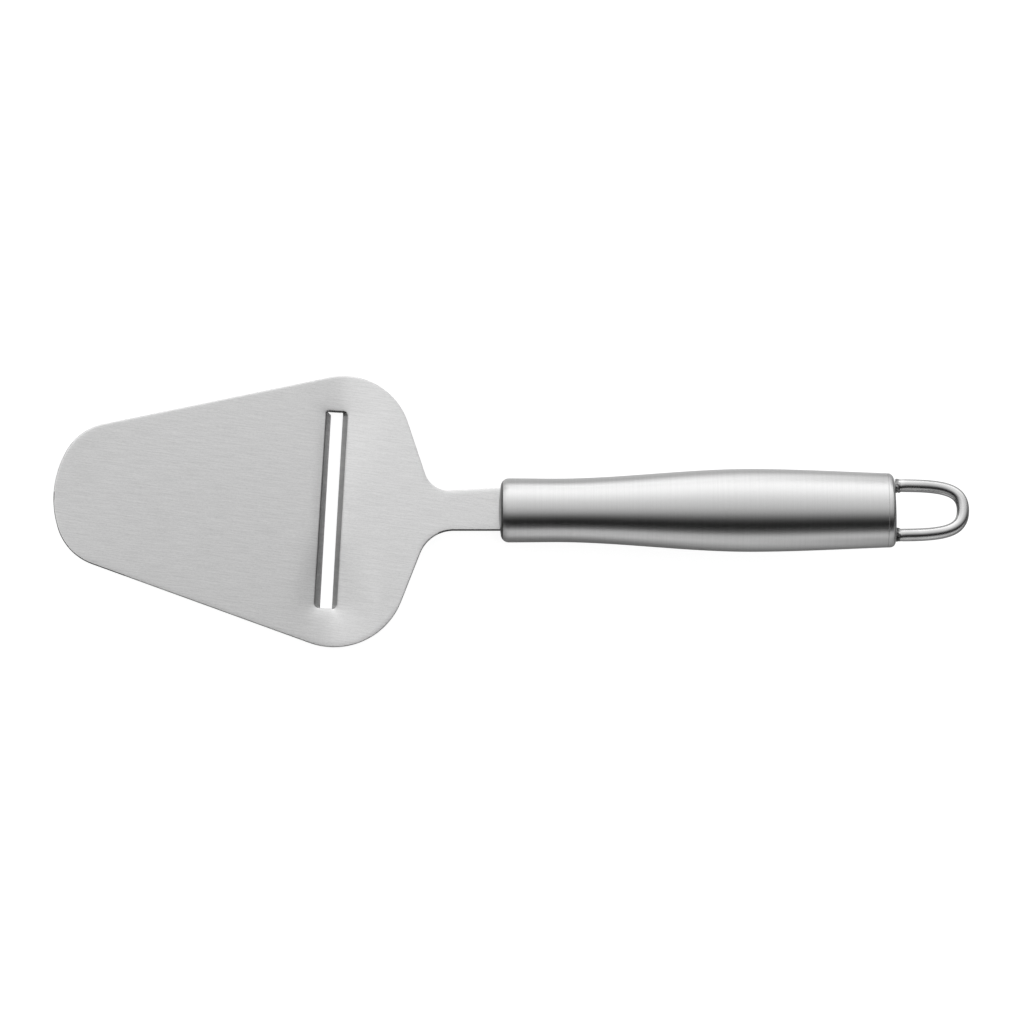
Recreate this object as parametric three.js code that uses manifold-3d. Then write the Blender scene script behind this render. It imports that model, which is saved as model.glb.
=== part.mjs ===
// Hand-held cheese slicer in stainless steel: a slotted spade blade on a hollow handle with a welded wire loop.
// Millimetres, +Z up. It lies as it rests on a table: on the edge of the tip and the front of the handle.
// All pieces are first drawn along the handle: x = 0 at the front of the handle, the tip towards -X,
// the loop towards +X, and the middle of the sheet at z = 0. The whole is tilted to its rest at the end.
import * as THREE from "three";
import { mergeVertices } from "three/addons/utils/BufferGeometryUtils.js";
import Module from "manifold-3d";

// Blade: corners of its outline, each rounded by its own radius. The left side of the tool is towards -Y.
const SHEET = 1.5;
const TIP_POINT = { x: -120.37, y: 5.9, radius: 26 };
const TIP_RIGHT = { x: -112.4, y: 21.6, radius: 14.8 };
const TIP_LEFT = { x: -115.7, y: -11.7, radius: 14.7 };
const LOBE_RIGHT = { x: -29.5, y: 38.9, radius: 18.1 };
const LOBE_LEFT = { x: -33.1, y: -41.95, radius: 19.3 };
const NECK_WIDTH = 11.2;
const NECK_START = -18.7;
const NECK_RADIUS_RIGHT = 7.7;
const NECK_RADIUS_LEFT = 9.6;
const TANG_LENGTH = 38;
const TANG_CORNER = 2;

// Slot across the blade, with a sharp lip on the tip side and a guide lip on the handle side.
const SLOT_X = -44.9;
const SLOT_Y = 0.05;
const SLOT_LENGTH = 53.4;
const SLOT_WIDTH = 6.2;
const SLOT_CORNER = 0.9;
const SLOT_SKEW_DEG = 3.3;
const CUT_LIP_RUN = 1.55;
const CUT_LIP_DROP = 2.4;
const CUT_LIP_GRIND = 0.9;
const GUIDE_LIP_RUN = 1.45;
const GUIDE_LIP_LAND = 0.3;
const LIP_INSET = 0.05;
const LIP_END_GAP = 0.25;
const CUT_LIP_CORNER = 1;
const TIP_RISE_DEG = 5;

// Handle: diameters along its length, and the wall of its tube and caps.
const HANDLE_LENGTH = 105.95;
const FRONT_DIAMETER = 17.2;
const WAIST_DIAMETER = 17;
const WAIST_X = 15;
const BELLY_DIAMETER = 22.2;
const BELLY_X = 67.2;
const REAR_DIAMETER = 19.9;
const REAR_TAPER_DEG = 2;
const TUBE_WALL = 0.9;
const CAP_WALL = 1;
const FRONT_CORNER = 2.2;
const FRONT_DOME = 0.45;
const FRONT_RIM = 0.8;
const REAR_CORNER = 1.6;
const REAR_RIM = 0.25;
const TANG_CLEARANCE = 0.15;

// Hanging loop of round wire, and the weld beads.
const WIRE_DIAMETER = 3.3;
const LOOP_SPREAD = 13.2;
const LOOP_REACH = 19.85;
const LOOP_LEG = 13.25;
const LOOP_SHOULDER = 11.3;
const LOOP_BEAD_LENGTH = 1.3;
const LOOP_BEAD_FLARE = 0.45;
const TANG_BEAD = 2;
const SEAM_DEPTH = 0.45;
const SEAM_WIDTH = 0.5;
const WELD_GAP = 0.05;

const ROUND_STEPS = 36;
const wasm = await Module();
wasm.setup();

function solidFrom(geometry) {
  const bare = geometry.clone();
  bare.deleteAttribute("normal");
  bare.deleteAttribute("uv");
  const merged = mergeVertices(bare, 1e-5);
  const mesh = new wasm.Mesh({
    numProp: 3,
    vertProperties: merged.attributes.position.array,
    triVerts: new Uint32Array(merged.index.array),
  });
  return new wasm.Manifold(mesh);
}

function geometryFrom(solid) {
  const mesh = solid.getMesh();
  const geometry = new THREE.BufferGeometry();
  geometry.setAttribute("position", new THREE.BufferAttribute(mesh.vertProperties, 3));
  geometry.setIndex(new THREE.BufferAttribute(mesh.triVerts, 1));
  return geometry;
}

// Closed outline through corners { x, y, radius } with an arc at each. Arcs that crowd an edge are made smaller.
function roundedOutline(corners, Kind = THREE.Shape) {
  const count = corners.length;
  const bends = corners.map((corner, i) => {
    const at = new THREE.Vector2(corner.x, corner.y);
    const before = corners[(i + count - 1) % count];
    const after = corners[(i + 1) % count];
    const back = new THREE.Vector2(before.x, before.y).sub(at);
    const ahead = new THREE.Vector2(after.x, after.y).sub(at);
    const edge = ahead.length();
    back.normalize();
    ahead.normalize();
    const half = Math.acos(back.dot(ahead)) / 2;
    return { at, back, ahead, edge, half, reach: corner.radius / Math.tan(half) };
  });
  const fits = bends.map((bend, i) => Math.min(1, bend.edge / (bend.reach + bends[(i + 1) % count].reach)));
  const outline = new Kind();
  bends.forEach(({ at, back, ahead, half, reach }, i) => {
    const fitted = reach * Math.min(fits[i], fits[(i + count - 1) % count]);
    const radius = fitted * Math.tan(half);
    const start = at.clone().addScaledVector(back, fitted);
    const end = at.clone().addScaledVector(ahead, fitted);
    const inward = back.clone().add(ahead).normalize();
    const centre = at.clone().addScaledVector(inward, radius / Math.sin(half));
    outline.absarc(
      centre.x,
      centre.y,
      radius,
      start.sub(centre).angle(),
      end.sub(centre).angle(),
      back.cross(ahead) > 0,
    );
  });
  outline.closePath();
  return outline;
}

// Body turned round the handle's axis from points (x, radius). The points run with the outside towards +X.
function turned(points) {
  const profile = points.map(([x, radius]) => new THREE.Vector2(radius, x));
  return new THREE.LatheGeometry(profile, ROUND_STEPS).rotateZ(-Math.PI / 2);
}

// Points along an arc in (x, radius), from one angle to another in degrees.
function arcPoints(x, radius, size, fromDeg, toDeg, steps) {
  const points = [];
  for (let i = 0; i <= steps; i += 1) {
    const angle = THREE.MathUtils.degToRad(fromDeg + ((toDeg - fromDeg) * i) / steps);
    points.push([x + size * Math.cos(angle), radius + size * Math.sin(angle)]);
  }
  return points;
}

// Blade.
const slotTurn = THREE.MathUtils.degToRad(SLOT_SKEW_DEG);
const slotCentre = new THREE.Vector3(SLOT_X, SLOT_Y, 0);
const acrossSlot = new THREE.Vector3(Math.cos(slotTurn), -Math.sin(slotTurn), 0);
const alongSlot = new THREE.Vector3(-Math.sin(slotTurn), -Math.cos(slotTurn), 0);
const slotFrame = new THREE.Matrix4().makeBasis(acrossSlot, new THREE.Vector3(0, 0, 1), alongSlot);
slotFrame.setPosition(slotCentre);

function slotCorner(side, end) {
  const point = slotCentre.clone();
  point.addScaledVector(acrossSlot, (side * SLOT_WIDTH) / 2);
  point.addScaledVector(alongSlot, (end * SLOT_LENGTH) / 2);
  return { x: point.x, y: point.y, radius: SLOT_CORNER };
}

const bladeOutline = roundedOutline([
  TIP_POINT,
  TIP_LEFT,
  LOBE_LEFT,
  { x: NECK_START, y: -NECK_WIDTH / 2, radius: NECK_RADIUS_LEFT },
  { x: TANG_LENGTH, y: -NECK_WIDTH / 2, radius: TANG_CORNER },
  { x: TANG_LENGTH, y: NECK_WIDTH / 2, radius: TANG_CORNER },
  { x: NECK_START, y: NECK_WIDTH / 2, radius: NECK_RADIUS_RIGHT },
  LOBE_RIGHT,
  TIP_RIGHT,
]);
bladeOutline.holes.push(
  roundedOutline(
    [slotCorner(-1, -1), slotCorner(1, -1), slotCorner(1, 1), slotCorner(-1, 1)],
    THREE.Path,
  ),
);
// Bar along the slot with a section of points (across the slot, height). The sheet is folded along the middle
// of the slot, so points on the tip side rise.
const tipRise = Math.tan(THREE.MathUtils.degToRad(TIP_RISE_DEG));

function slotBar(points, length) {
  const risen = points.map(
    ([across, height]) => new THREE.Vector2(across, height + tipRise * Math.max(0, -across)),
  );
  const bar = new THREE.ExtrudeGeometry(new THREE.Shape(risen), { depth: length, bevelEnabled: false });
  return solidFrom(bar.translate(0, 0, -length / 2).applyMatrix4(slotFrame));
}

const sheetTop = SHEET / 2;
const bladeLength = TANG_LENGTH - TIP_POINT.x;
const foldedSheet = slotBar(
  [
    [-bladeLength, -sheetTop],
    [0, -sheetTop],
    [bladeLength, -sheetTop],
    [bladeLength, sheetTop],
    [0, sheetTop],
    [-bladeLength, sheetTop],
  ],
  bladeLength,
);
const blank = solidFrom(
  new THREE.ExtrudeGeometry(bladeOutline, {
    depth: bladeLength,
    bevelEnabled: false,
    curveSegments: 16,
  }).translate(0, 0, -bladeLength / 2),
);

const slotSide = SLOT_WIDTH / 2;
const lipRoot = slotSide + SHEET;
const lipLength = SLOT_LENGTH - 2 * LIP_END_GAP;
const cutEdge = CUT_LIP_RUN - slotSide;
const guideEdge = slotSide - GUIDE_LIP_RUN;
const cutLip = slotBar(
  [
    [-lipRoot, LIP_INSET - sheetTop],
    [cutEdge - CUT_LIP_GRIND, sheetTop - CUT_LIP_DROP + CUT_LIP_GRIND / 6],
    [cutEdge, sheetTop - CUT_LIP_DROP],
    [-slotSide, sheetTop - LIP_INSET],
    [-lipRoot, sheetTop - LIP_INSET],
  ],
  lipLength,
);
const guideLip = slotBar(
  [
    [lipRoot, sheetTop - LIP_INSET],
    [slotSide, sheetTop - LIP_INSET],
    [guideEdge, GUIDE_LIP_LAND - sheetTop],
    [guideEdge, LIP_INSET - sheetTop],
    [lipRoot, LIP_INSET - sheetTop],
  ],
  lipLength,
);

// The right end of the cutting lip is cut away at a slant.
const lipSlant = solidFrom(
  new THREE.BoxGeometry(2 * CUT_LIP_CORNER, 4 * CUT_LIP_DROP, 2 * CUT_LIP_CORNER)
    .rotateY(Math.PI / 4)
    .translate(cutEdge, 0, -lipLength / 2)
    .applyMatrix4(slotFrame),
);
const blade = blank.intersect(foldedSheet).add(guideLip).add(cutLip.subtract(lipSlant));

// Handle tube, between the two seams.
const frontSeam = FRONT_DOME + FRONT_CORNER + FRONT_RIM;
const rearSeam = HANDLE_LENGTH - REAR_CORNER - REAR_RIM;
const frontRadius = FRONT_DIAMETER / 2;
const rearRadius = REAR_DIAMETER / 2;
const bellyRadius = BELLY_DIAMETER / 2;
const waistRadius = WAIST_DIAMETER / 2;

// Curve in (x, radius) from one station to the next, with the slope given at its end.
function contour(x0, radius0, x1, radius1, endSlope, steps) {
  const third = (x1 - x0) / 3;
  const curve = new THREE.CubicBezierCurve(
    new THREE.Vector2(x0, radius0),
    new THREE.Vector2(x0 + third, radius0),
    new THREE.Vector2(x1 - third, radius1 - endSlope * third),
    new THREE.Vector2(x1, radius1),
  );
  return curve.getPoints(steps).map((point) => [point.x, point.y]);
}

const rearSlope = -Math.tan(THREE.MathUtils.degToRad(REAR_TAPER_DEG));
const tubeOutside = [
  ...contour(frontSeam, frontRadius, WAIST_X, waistRadius, 0, 3),
  ...contour(WAIST_X, waistRadius, BELLY_X, bellyRadius, 0, 11).slice(1),
  ...contour(BELLY_X, bellyRadius, rearSeam, rearRadius, rearSlope, 7).slice(1),
];
const seamHalf = SEAM_WIDTH / 2;
const tubeInside = tubeOutside.map(([x, radius]) => [x, radius - TUBE_WALL]).reverse();
const tubeSkin = tubeOutside.slice(1, -1);
const handleShell = turned([
  [frontSeam, frontRadius - TUBE_WALL],
  [frontSeam, frontRadius - SEAM_DEPTH],
  [frontSeam + seamHalf, frontRadius],
  ...tubeSkin,
  [rearSeam - seamHalf, rearRadius],
  [rearSeam, rearRadius - SEAM_DEPTH],
  ...tubeInside,
]);

// Caps: cups with a rounded corner, whose rims meet the tube's ends.
const frontFlat = frontRadius - FRONT_CORNER;
const frontInside = FRONT_DOME + CAP_WALL;
const frontCup = turned([
  [0, 0],
  [FRONT_DOME / 9, frontFlat / 3],
  [(FRONT_DOME * 4) / 9, (frontFlat * 2) / 3],
  ...arcPoints(FRONT_DOME + FRONT_CORNER, frontFlat, FRONT_CORNER, 180, 90, 6),
  [frontSeam - seamHalf, frontRadius],
  [frontSeam, frontRadius - SEAM_DEPTH],
  [frontSeam, frontRadius - TUBE_WALL],
  ...arcPoints(
    frontInside + FRONT_CORNER - TUBE_WALL,
    frontFlat,
    FRONT_CORNER - TUBE_WALL,
    90,
    180,
    4,
  ),
  [frontInside, 0],
]);
const tangSlot = solidFrom(
  new THREE.BoxGeometry(
    4 * frontInside,
    NECK_WIDTH + 2 * TANG_CLEARANCE,
    SHEET + 2 * TANG_CLEARANCE,
  ),
);
const frontCap = solidFrom(frontCup).subtract(tangSlot);

const rearInside = HANDLE_LENGTH - CAP_WALL;
const rearCap = turned([
  [rearInside, 0],
  [rearInside, rearRadius - TUBE_WALL],
  [rearSeam, rearRadius - TUBE_WALL],
  [rearSeam, rearRadius - SEAM_DEPTH],
  [rearSeam + seamHalf, rearRadius],
  ...arcPoints(HANDLE_LENGTH - REAR_CORNER, rearRadius - REAR_CORNER, REAR_CORNER, 90, 0, 6),
  [HANDLE_LENGTH, 0],
]);

// Ring of weld that fills the groove between a cap's rim and the tube.
function seamWeld(x, radius) {
  const bottom = radius - SEAM_DEPTH + 2 * WELD_GAP;
  return turned([
    [x, bottom],
    [x - seamHalf + WELD_GAP, radius],
    [x + seamHalf - WELD_GAP, radius],
    [x, bottom],
  ]);
}

// Fillet bead between one face of the tang and the inside of the front cap.
function tangWeld(side) {
  const section = new THREE.Shape();
  section.moveTo(0, 0);
  section.lineTo(TANG_BEAD, 0);
  section.quadraticCurveTo(TANG_BEAD * 0.6, TANG_BEAD * 0.6, 0, TANG_BEAD);
  section.closePath();
  const length = NECK_WIDTH - TANG_BEAD;
  const bead = new THREE.ExtrudeGeometry(section, { depth: length, bevelEnabled: false, curveSegments: 6 });
  bead.translate(0, 0, -length / 2).rotateX((side * Math.PI) / 2);
  return bead.translate(frontInside + WELD_GAP, 0, side * (SHEET / 2 + WELD_GAP));
}

// Loop: one wire bent to a U, its legs butted on the rear cap and ringed by beads.
const wireRadius = WIRE_DIAMETER / 2;
const loopSide = LOOP_SPREAD / 2;
const loopEnd = HANDLE_LENGTH + LOOP_REACH - wireRadius;
const legStart = HANDLE_LENGTH + WELD_GAP;
const loopBend = new THREE.Path();
loopBend.moveTo(legStart, loopSide);
loopBend.lineTo(HANDLE_LENGTH + LOOP_BEAD_LENGTH, loopSide);
loopBend.bezierCurveTo(HANDLE_LENGTH + LOOP_LEG, loopSide, loopEnd, LOOP_SHOULDER / 2, loopEnd, 0);
loopBend.bezierCurveTo(
  loopEnd,
  -LOOP_SHOULDER / 2,
  HANDLE_LENGTH + LOOP_LEG,
  -loopSide,
  HANDLE_LENGTH + LOOP_BEAD_LENGTH,
  -loopSide,
);
loopBend.lineTo(legStart, -loopSide);
const loopPoints = loopBend.getSpacedPoints(36).map((point) => new THREE.Vector3(point.x, point.y, 0));
const wireSection = new THREE.Shape().absarc(0, 0, wireRadius, 0, 2 * Math.PI);
const hangingLoop = new THREE.ExtrudeGeometry(wireSection, {
  steps: 36,
  curveSegments: 6,
  extrudePath: new THREE.CatmullRomCurve3(loopPoints),
});

function loopWeld(side) {
  const bore = wireRadius + WELD_GAP;
  const start = HANDLE_LENGTH + WELD_GAP;
  return turned([
    [start, bore],
    [start, bore + LOOP_BEAD_FLARE],
    [start + LOOP_BEAD_LENGTH * 0.4, bore + LOOP_BEAD_FLARE * 0.6],
    [start + LOOP_BEAD_LENGTH, bore + LOOP_BEAD_FLARE * 0.2],
    [start + LOOP_BEAD_LENGTH, bore],
    [start, bore],
  ]).translate(0, side * loopSide, 0);
}

// Finishes.
function steel(colour, roughness) {
  return new THREE.MeshStandardMaterial({ color: colour, roughness, metalness: 1 });
}
const bladeSteel = steel(0xc9cac8, 0.34);
const handleSteel = steel(0xbfc0bf, 0.38);
const wireSteel = steel(0xb9bab9, 0.2);
const weldSteel = steel(0x7d7b77, 0.6);

// Assembly, tilted so that the tip of the blade and the underside of the handle stand on the same level.
const slicer = new THREE.Group();
const tilted = new THREE.Group();
slicer.add(tilted);

function addPiece(name, geometry, material) {
  const piece = new THREE.Mesh(geometry, material);
  piece.name = name;
  tilted.add(piece);
}

addPiece("blade", geometryFrom(blade), bladeSteel);
addPiece("front_cap", geometryFrom(frontCap), handleSteel);
addPiece("handle_shell", handleShell, handleSteel);
addPiece("rear_cap", rearCap, handleSteel);
addPiece("hanging_loop", hangingLoop, wireSteel);
addPiece("front_seam_weld", seamWeld(frontSeam, frontRadius), handleSteel);
addPiece("rear_seam_weld", seamWeld(rearSeam, rearRadius), weldSteel);
addPiece("tang_weld_top", tangWeld(1), weldSteel);
addPiece("tang_weld_bottom", tangWeld(-1), weldSteel);
addPiece("loop_weld_right", loopWeld(1), weldSteel);
addPiece("loop_weld_left", loopWeld(-1), weldSteel);

// Slope of the table under the tool: the line below the blade and the tube that touches both.
function tableSlope() {
  const corners = blade.getMesh().vertProperties;
  let steepest = -Infinity;
  for (let i = 0; i < corners.length; i += 3) {
    const x = corners[i];
    const z = corners[i + 2];
    if (x < NECK_START) {
      const slopes = tubeOutside.map(([tubeX, radius]) => (-radius - z) / (tubeX - x));
      steepest = Math.max(steepest, Math.min(...slopes));
    }
  }
  return steepest;
}

tilted.rotation.y = Math.atan(tableSlope());
const room = new THREE.Box3().setFromObject(tilted, true);
const middle = room.getCenter(new THREE.Vector3());
tilted.position.set(-middle.x, -middle.y, -room.min.z);

export default slicer;
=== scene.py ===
"""Looks of a stainless steel cheese slicer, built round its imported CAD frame."""

import math

import bpy
import numpy as np
from mathutils import Matrix, Vector
from mathutils.geometry import delaunay_2d_cdt


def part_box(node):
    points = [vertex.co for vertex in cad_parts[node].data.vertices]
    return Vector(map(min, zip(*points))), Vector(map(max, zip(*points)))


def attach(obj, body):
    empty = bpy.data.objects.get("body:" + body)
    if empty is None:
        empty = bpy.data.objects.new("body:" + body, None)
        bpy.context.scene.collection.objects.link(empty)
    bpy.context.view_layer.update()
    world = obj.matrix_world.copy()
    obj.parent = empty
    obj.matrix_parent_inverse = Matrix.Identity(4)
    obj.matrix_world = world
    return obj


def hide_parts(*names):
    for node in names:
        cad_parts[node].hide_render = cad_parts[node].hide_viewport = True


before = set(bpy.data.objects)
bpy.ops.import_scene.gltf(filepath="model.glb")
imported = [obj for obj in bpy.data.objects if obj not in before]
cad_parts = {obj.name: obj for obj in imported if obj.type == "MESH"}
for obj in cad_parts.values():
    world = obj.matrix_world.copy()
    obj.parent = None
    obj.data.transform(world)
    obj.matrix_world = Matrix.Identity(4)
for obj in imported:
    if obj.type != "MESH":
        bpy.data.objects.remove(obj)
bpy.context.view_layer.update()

# Sizes in millimetres, in the handle's frame: x = 0 at the front of the handle and along its axis,
# y to the right of the user, z up from the middle of the blade's sheet.
MILLIMETRE = 0.001

# Angles in degrees above which the edge between two faces stays sharp.
SHARP = 35
BLADE_SHARP = 55
BEAD_SHARP = 60

# Blade's sheet. The corners of its outline are (x, y, radius).
SHEET = 1.45
OUTLINE = [
    (-120.37, 5.9, 26.0),
    (-115.7, -11.7, 14.7),
    (-33.1, -41.95, 19.3),
    (-18.7, -5.5, 9.6),
    (38.0, -5.5, 2.0),
    (38.0, 6.08, 2.0),
    (-0.5, 6.08, 8.0),
    (-18.2, 5.15, 6.5),
    (-29.5, 38.87, 18.1),
    (-112.4, 21.6, 14.8),
]
OUTLINE_STEP = 0.7
OUTLINE_INSET = 0.02
TIP_RISE = math.tan(math.radians(5))
FOLD_SOFTNESS = 4.0
FOLD_SKEW = math.tan(math.radians(3.1))

# Crown of the plate: its drop by the square of the distance from a middle line, none at the tip.
CROWN = 0.0005
CROWN_MIDDLE = 5.0
CROWN_START = -118.0
CROWN_FADE = 25.0

# Upper edge of the sheet: a slight roll-off, then a small round.
NECK_START = -24.0
NECK_FADE = 6.0
ROLL_STEPS = 4
ROLL_RUN = 1.4
ROLL_DEPTH = 0.045
ROLL_FROM = 0.25
ROLL_FADE = 0.3
EDGE_STEPS = 6
EDGE_DROP = 0.3
EDGE_RUN = 0.17
EDGE_RUN_ASIDE = 0.11
EDGE_RUN_REAR = 0.1
EDGE_RUN_LEAST = 0.06
EDGE_RUN_MOST = 1.0
EDGE_RUN_NECK = 0.7

# Slot, with its ends called left (-Y) and right (+Y).
SLOT_CENTRE = np.array([-44.9, 0.05])
SLOT_LENGTH = 53.4
SLOT_WIDTH = 6.2
SLOT_STEP = 0.3
SLOT_CORNER = 0.9
WIDE_CORNER = 1.4
SLOT_SKEW = math.radians(3.3)
SLOT_NARROW = 0.25
SHORT_LEFT = 0.41
SHORT_RIGHT = 0.1
LEFT_WALL = -0.06
RIGHT_WALL = 0.45
BEND = 0.08
HALF_WIDTH = SLOT_WIDTH / 2 + BEND
HALF_LENGTH = SLOT_LENGTH / 2 + BEND
LEFT_END = SHORT_LEFT - HALF_LENGTH
RIGHT_END = HALF_LENGTH - SHORT_RIGHT

# Lips beside the slot: the cutting lip on the tip side, the guide lip on the handle side.
CUT_RUN = 1.55
CUT_DROP = 2.4
CUT_GRIND = 0.9
CUT_SLANT = 0.75
CUT_BACK = 0.87
CUT_EASE = 0.35
CUT_EDGE = CUT_RUN - SLOT_WIDTH / 2
GUIDE_RUN = 1.45
GUIDE_DROP = 1.2
GUIDE_EASE = 0.12
GUIDE_EDGE = SLOT_WIDTH / 2 - GUIDE_RUN
LIP_STEPS = 12
LIP_CREASE = 0.03
LIP_CREASE_RATE = 5
LEDGE_RUN = 0.65
LEDGE_SLOPE = 0.35
STEP_SLOPE = 2.207
WALL_TILT = 0.22
WALL_CURVE = 0.07

# Dish round the slot as (depth, length): beside the two lips and past the two ends.
DISH_CUT = (0.42, 1.2)
DISH_GUIDE = (0.13, 1.5)
DISH_RIGHT_END = (0.13, 0.7)
DISH_LEFT_END = (0.25, 0.9)
DISH_LOSS = 0.45
DISH_LOSS_FROM = 15
DISH_LOSS_FADE = 9

# Long sags past the slot's ends as (depth, length), and how they spread to the sides and along the slot.
SAG_RIGHT = (0.28, 7.0)
SAG_LEFT = (0.8, 7.5)
SAG_ROUND = 0.6
SAG_FLAT = 1.5
SAG_FADE_CUT = 9
SAG_FADE_GUIDE = 13
SAG_FADE_BACK = 22

# Spacing of the sheet's points: rows round the slot, then a staggered grid.
FILL_ROWS = (0.3, 0.65, 1.1, 1.7, 2.5, 3.5, 4.8)
FILL_DENSE = 1.5
FILL_PITCH = 1.5
FILL_CLEAR = 5.6
FILL_MARGIN = 0.6

# Where the blade's steel is painted lighter or darker, as painted light and shade.
END_BAND = 0.6
EDGE_LIT = 0.1
TIP_END = -100
NECK_EDGE_START = -17
NECK_EDGE_LEAN = -0.9

# Handle: places are (x, radius). The brushing is laid out as on a tube of one radius.
SEGMENTS = 160
HANDLE_BRUSH_RADIUS = 10
HANDLE_LENGTH = 105.94
CLEAR_OF_END = 1.0
WALL = 0.9
CAP_WALL = 1.0
FRONT_SEAM = 3.45
FRONT_RADIUS = 8.58
WAIST = (15.0, 8.5)
BELLY = (67.2, 11.09)
REAR_SEAM = 103.9
REAR_RADIUS = 9.94
REAR_SLOPE = -math.tan(math.radians(2))
FRONT_RING = (FRONT_SEAM - 0.05, FRONT_SEAM + 0.02)
FRONT_RING_DEPTH = 0.4
REAR_RING = (REAR_SEAM - 0.12, REAR_SEAM + 0.12)
REAR_RING_DEPTH = 0.5
SEAM_SINK = 0.03
SEAM_ROUND = 0.04
SEAM_CLEAR = 0.05
SHELL_RISE = 0.008
FRONT_DOME = 0.45
FRONT_CORNER = 2.2
DOME_BEND = math.radians(8)
TANG_SLOT = ((-2, -5.72, -0.87), (5, 6.12, 0.87))
FACE_DEPTH = 1.1
REAR_CORNER = 1.6
REAR_CORNER_END = 8
REAR_DOME = 0.13
REAR_DOME_RADIUS = 8.6
REAR_FLAT = 8
REAR_SKEW = 0.032
REAR_SKEW_FROM = 0.1
REAR_SKEW_FADE = 0.8
FILLET_DEPTH = 0.75

# Hanging loop and its weld beads.
WIRE_RADIUS = 1.65
WIRE_SIDES = 48
WIRE_OVAL = 0.13
OVAL_FROM = 0.3
OVAL_FADE = 2.2
LOOP_GAP = 0.02
LOOP_SIDE = 6.6
LOOP_LEG = 13.25
LOOP_SHOULDER = 5.65
LOOP_REACH = 18.18
LOOP_LEAN = 0.18
LEAN_FROM = 6
LEAN_FADE = 10
BEAD_SIDES = 72
BEAD_ROWS = 15
BEAD_LENGTH = 1.3
BEAD_GAP = 0.03
BEAD_BORE = 0.01
BEAD_BORE_SHORT = 0.1
BEAD_FLARE = 0.06
BEAD_FLARE_INSIDE = 0.36
BEAD_ROUGHNESS = 0.8


# The handle's frame in the row frame, found from the two seam rings.
def centre_of(name):
    low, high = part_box(name)
    return (low + high) / 2


front_ring_centre = centre_of("front_seam_weld")
along = (centre_of("rear_seam_weld") - front_ring_centre).normalized()
aside = Vector((0, 1, 0))
up = along.cross(aside)
origin = front_ring_centre - along * (FRONT_SEAM * MILLIMETRE)
axes = [[axis[i] * MILLIMETRE for axis in (along, aside, up)] for i in range(3)]
to_row = Matrix([[*axes[i], origin[i]] for i in range(3)] + [[0, 0, 0, 1]])
to_handle = to_row.inverted()


def smooth(x):
    """A soft step from 0 at 0 to 1 at 1."""
    x = np.clip(x, 0, 1)
    return x * x * (3 - 2 * x)


def piece(name, points, faces, uvs, material, sharp=SHARP):
    """A mesh object from points in the handle's frame, smooth where faces meet at under sharp degrees."""
    to_metres = np.array(to_row)
    places = np.asarray(points, float) @ to_metres[:3, :3].T + to_metres[:3, 3]
    mesh = bpy.data.meshes.new(name)
    mesh.from_pydata(places.tolist(), [], [tuple(int(i) for i in f) for f in faces])
    layer = mesh.uv_layers.new(name="brush")
    corners = np.zeros(len(mesh.loops), np.int32)
    mesh.loops.foreach_get("vertex_index", corners)
    layer.data.foreach_set("uv", np.asarray(uvs, np.float32)[corners].ravel())
    mesh.shade_smooth()
    mesh.set_sharp_from_angle(angle=math.radians(sharp))
    mesh.materials.append(material)
    mesh.validate()
    obj = bpy.data.objects.new(name, mesh)
    bpy.context.scene.collection.objects.link(obj)
    return obj


def stand_in(obj, node_name):
    """obj takes the place of a CAD node and rides with it."""
    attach(obj, "root")
    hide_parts(node_name)


# Shader nodes.
def node(tree, kind, **values):
    """A new node. Each value sets the input of that name, or else the property."""
    made = tree.nodes.new(kind)
    for key, value in values.items():
        if key in made.inputs:
            made.inputs[key].default_value = value
        else:
            setattr(made, key, value)
    return made


def math_node(tree, operation, a, b=None):
    made = node(tree, "ShaderNodeMath", operation=operation)
    for i, value in enumerate((a, b)):
        if value is None:
            continue
        if isinstance(value, (int, float)):
            made.inputs[i].default_value = value
        else:
            tree.links.new(value, made.inputs[i])
    return made.outputs[0]


def map_range(tree, value, source, target=(0, 1), **values):
    """value taken from the source range to the target range."""
    made = node(tree, "ShaderNodeMapRange", **values)
    for key, number in zip(("From Min", "From Max", "To Min", "To Max"), (*source, *target)):
        made.inputs[key].default_value = number
    tree.links.new(value, made.inputs["Value"])
    return made.outputs["Result"]


def mix_colours(tree, factor, first, second, blend="MIX"):
    """Two greys or colour sockets mixed. factor is a number or a socket."""
    made = node(tree, "ShaderNodeMix", data_type="RGBA", blend_type=blend)
    if isinstance(factor, (int, float)):
        made.inputs[0].default_value = factor
    else:
        tree.links.new(factor, made.inputs[0])
    for i, value in ((6, first), (7, second)):
        if isinstance(value, (int, float)):
            made.inputs[i].default_value = (value, value, value, 1)
        else:
            tree.links.new(value, made.inputs[i])
    return made.outputs[2]


def mix_shaders(tree, factor, first, second):
    made = node(tree, "ShaderNodeMixShader")
    for i, socket in enumerate((factor, first, second)):
        tree.links.new(socket, made.inputs[i])
    return made.outputs[0]


def ramp(tree, value, stops):
    """A grey ramp over value, through stops of (value, grey)."""
    low, high = stops[0][0], stops[-1][0]
    made = node(tree, "ShaderNodeValToRGB")
    elements = made.color_ramp.elements
    while len(elements) < len(stops):
        elements.new(0.5)
    for element, (at, grey) in zip(elements, stops):
        element.position = (at - low) / (high - low)
        element.color = (grey, grey, grey, 1)
    tree.links.new(map_range(tree, value, (low, high)), made.inputs["Fac"])
    return made.outputs["Color"]


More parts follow.
